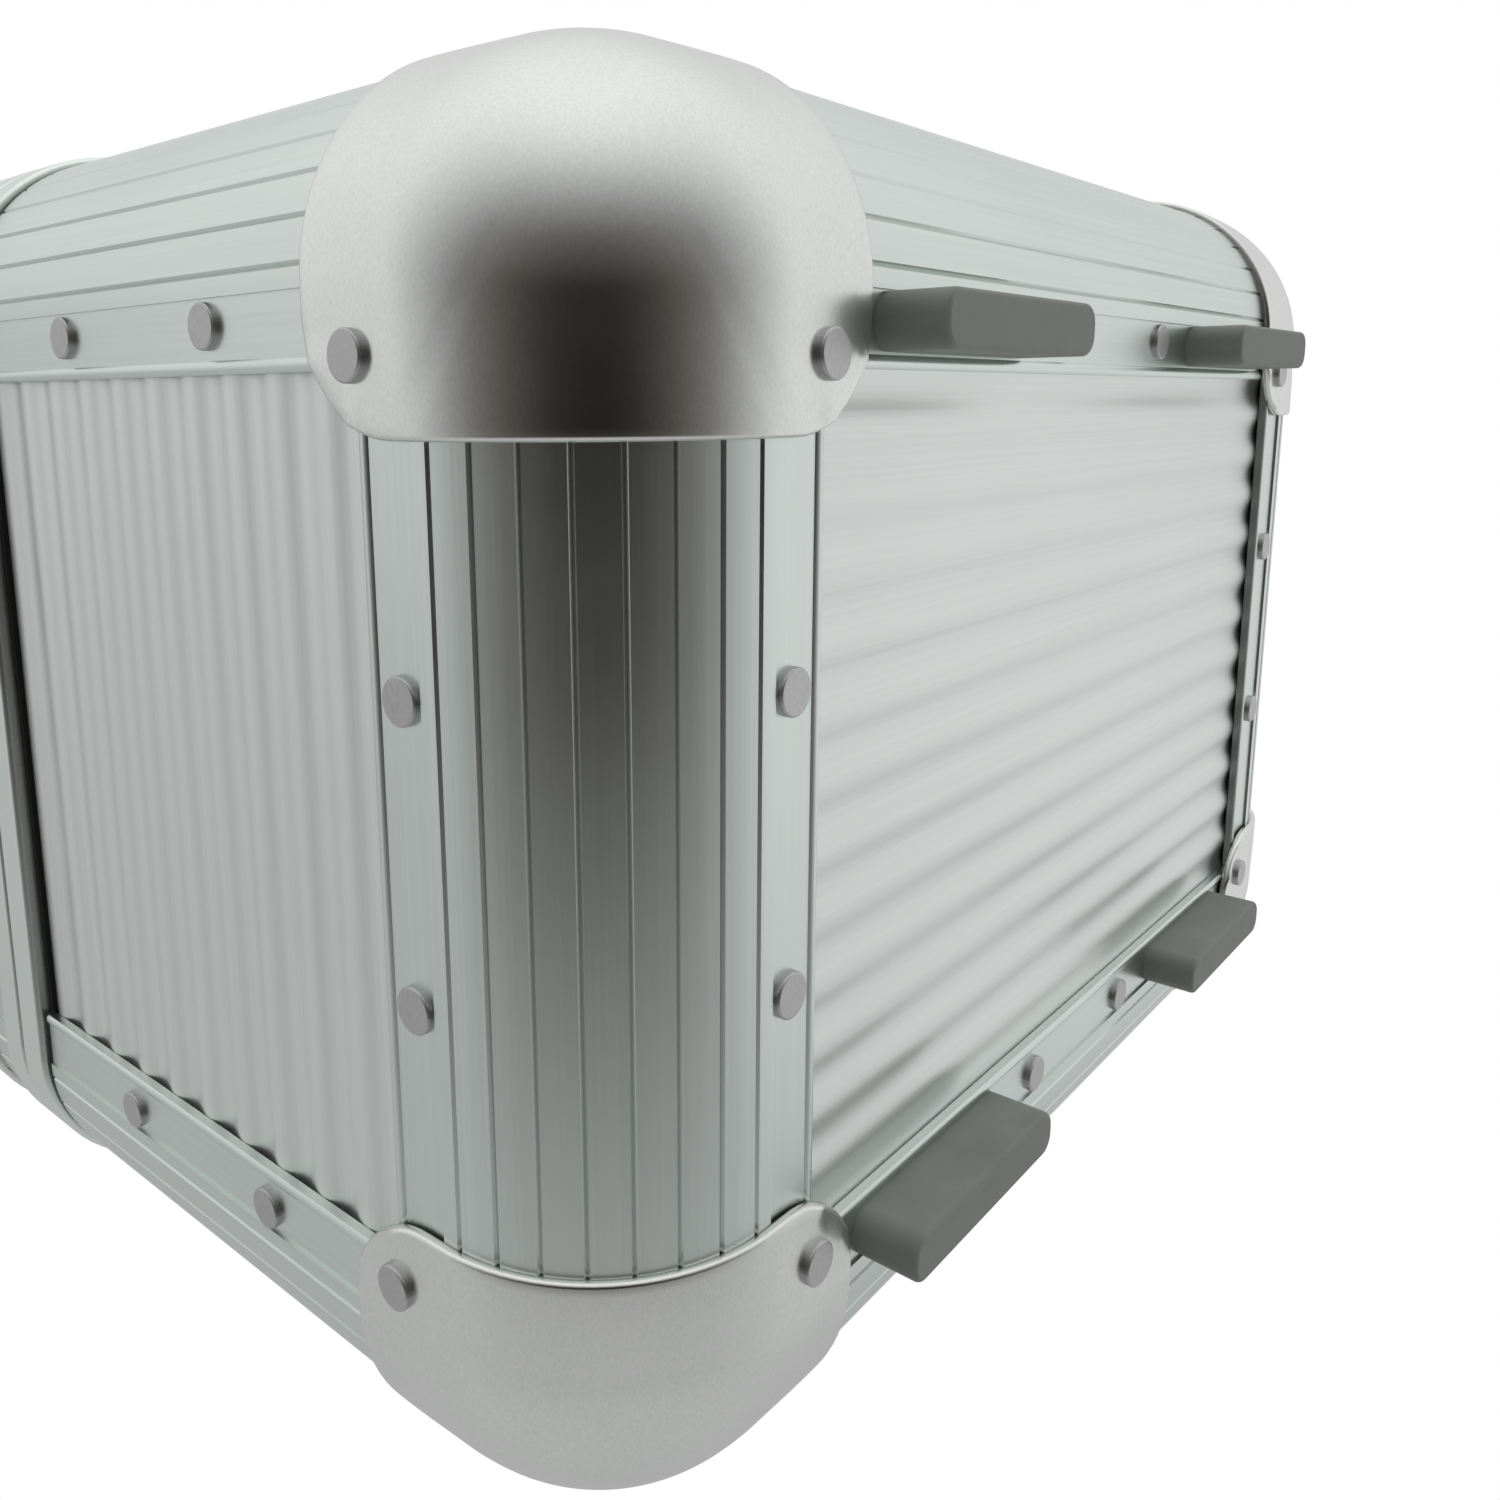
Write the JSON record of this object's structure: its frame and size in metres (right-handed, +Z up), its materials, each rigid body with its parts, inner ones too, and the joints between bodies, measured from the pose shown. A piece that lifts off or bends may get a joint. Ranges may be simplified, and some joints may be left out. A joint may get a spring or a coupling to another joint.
{
  "type": "hard carry case for tabletop miniatures",
  "caption": "Aluminium carry case with ball corners, corrugated panels, hinged lid, flip latches, bail handle and foam trays.",
  "frame": {"origin": "on the floor under the middle of the case", "axes": "+Z up, +X along the long side, front with the latches at -Y"},
  "size_m": [0.2954, 0.2345, 0.2708],
  "materials": {
    "extrusion_aluminium": "satin anodised, fine grooves",
    "cap_aluminium": "brushed",
    "panel_aluminium": "satin corrugated sheet",
    "rim_aluminium": "satin",
    "rivet_aluminium": "matte flat head",
    "plain_steel": "brushed",
    "hardware_steel": "satin plated",
    "black_rubber": "matte",
    "grey_rubber": "matte",
    "grip_rubber": "matte ribbed",
    "lining_fabric": "woven",
    "foam": "open-cell foam"
  },
  "bodies": {
    "base": {"base_back_panel": "panel_aluminium", "base_bottom_edge_back": "extrusion_aluminium", "base_bottom_edge_front": "extrusion_aluminium", "base_bottom_edge_left": "extrusion_aluminium", "base_bottom_edge_right": "extrusion_aluminium", "base_bottom_panel": "panel_aluminium", "base_corner_back_left": "cap_aluminium", "base_corner_back_right": "cap_aluminium", "base_corner_front_left": "cap_aluminium", "base_corner_front_right": "cap_aluminium", "base_front_panel": "panel_aluminium", "base_left_panel": "panel_aluminium", "base_liner": "lining_fabric", "base_post_back_left": "extrusion_aluminium", "base_post_back_right": "extrusion_aluminium", "base_post_front_left": "extrusion_aluminium", "base_post_front_right": "extrusion_aluminium", "base_right_panel": "panel_aluminium", "base_rim": "rim_aluminium", "base_rivets": "rivet_aluminium", "base_wall_seal": "black_rubber", "feet": "grey_rubber", "floor_pad": "foam", "foam_tray_lower": "foam", "foam_tray_upper": "foam", "foot_screws": "plain_steel", "hinge_base_leaves": "hardware_steel", "hinge_pins": "plain_steel", "latch_strikes": "hardware_steel", "rim_gasket": "black_rubber"},
    "lid": {"lid_back_panel": "panel_aluminium", "lid_corner_back_left": "cap_aluminium", "lid_corner_back_right": "cap_aluminium", "lid_corner_front_left": "cap_aluminium", "lid_corner_front_right": "cap_aluminium", "lid_foam": "foam", "lid_front_panel": "panel_aluminium", "lid_left_panel": "panel_aluminium", "lid_liner": "lining_fabric", "lid_post_back_left": "extrusion_aluminium", "lid_post_back_right": "extrusion_aluminium", "lid_post_front_left": "extrusion_aluminium", "lid_post_front_right": "extrusion_aluminium", "lid_right_panel": "panel_aluminium", "lid_rim": "rim_aluminium", "lid_rivets": "rivet_aluminium", "lid_top_edge_back": "extrusion_aluminium", "lid_top_edge_front": "extrusion_aluminium", "lid_top_edge_left": "extrusion_aluminium", "lid_top_edge_right": "extrusion_aluminium", "lid_top_panel": "panel_aluminium", "lid_wall_seal": "black_rubber", "hinge_lid_leaves": "hardware_steel", "latch_brackets": "hardware_steel", "latch_pins": "plain_steel", "handle_mounts": "hardware_steel"},
    "handle": {"handle_bail": "plain_steel", "handle_grip": "grip_rubber"},
    "latch_left": {"latch_lever_left": "hardware_steel"},
    "latch_right": {"latch_lever_right": "hardware_steel"}
  },
  "joints": [
    {"name": "lid_hinge", "type": "hinge", "parent": "base", "child": "lid", "pos_m": [0, 0.1137, 0.18515], "axis": [-1, 0, 0], "range_deg": [0, 95]},
    {"name": "handle_fold", "type": "hinge", "parent": "lid", "child": "handle", "pos_m": [0, 0, 0.2653], "axis": [-1, 0, 0], "range_deg": [0, 180]},
    {"name": "latch_left_flip", "type": "hinge", "parent": "lid", "child": "latch_left", "pos_m": [-0.082, -0.1149, 0.1905], "axis": [-1, 0, 0], "range_deg": [0, 110]},
    {"name": "latch_right_flip", "type": "hinge", "parent": "lid", "child": "latch_right", "pos_m": [0.082, -0.1149, 0.1905], "axis": [-1, 0, 0], "range_deg": [0, 110]}
  ]
}
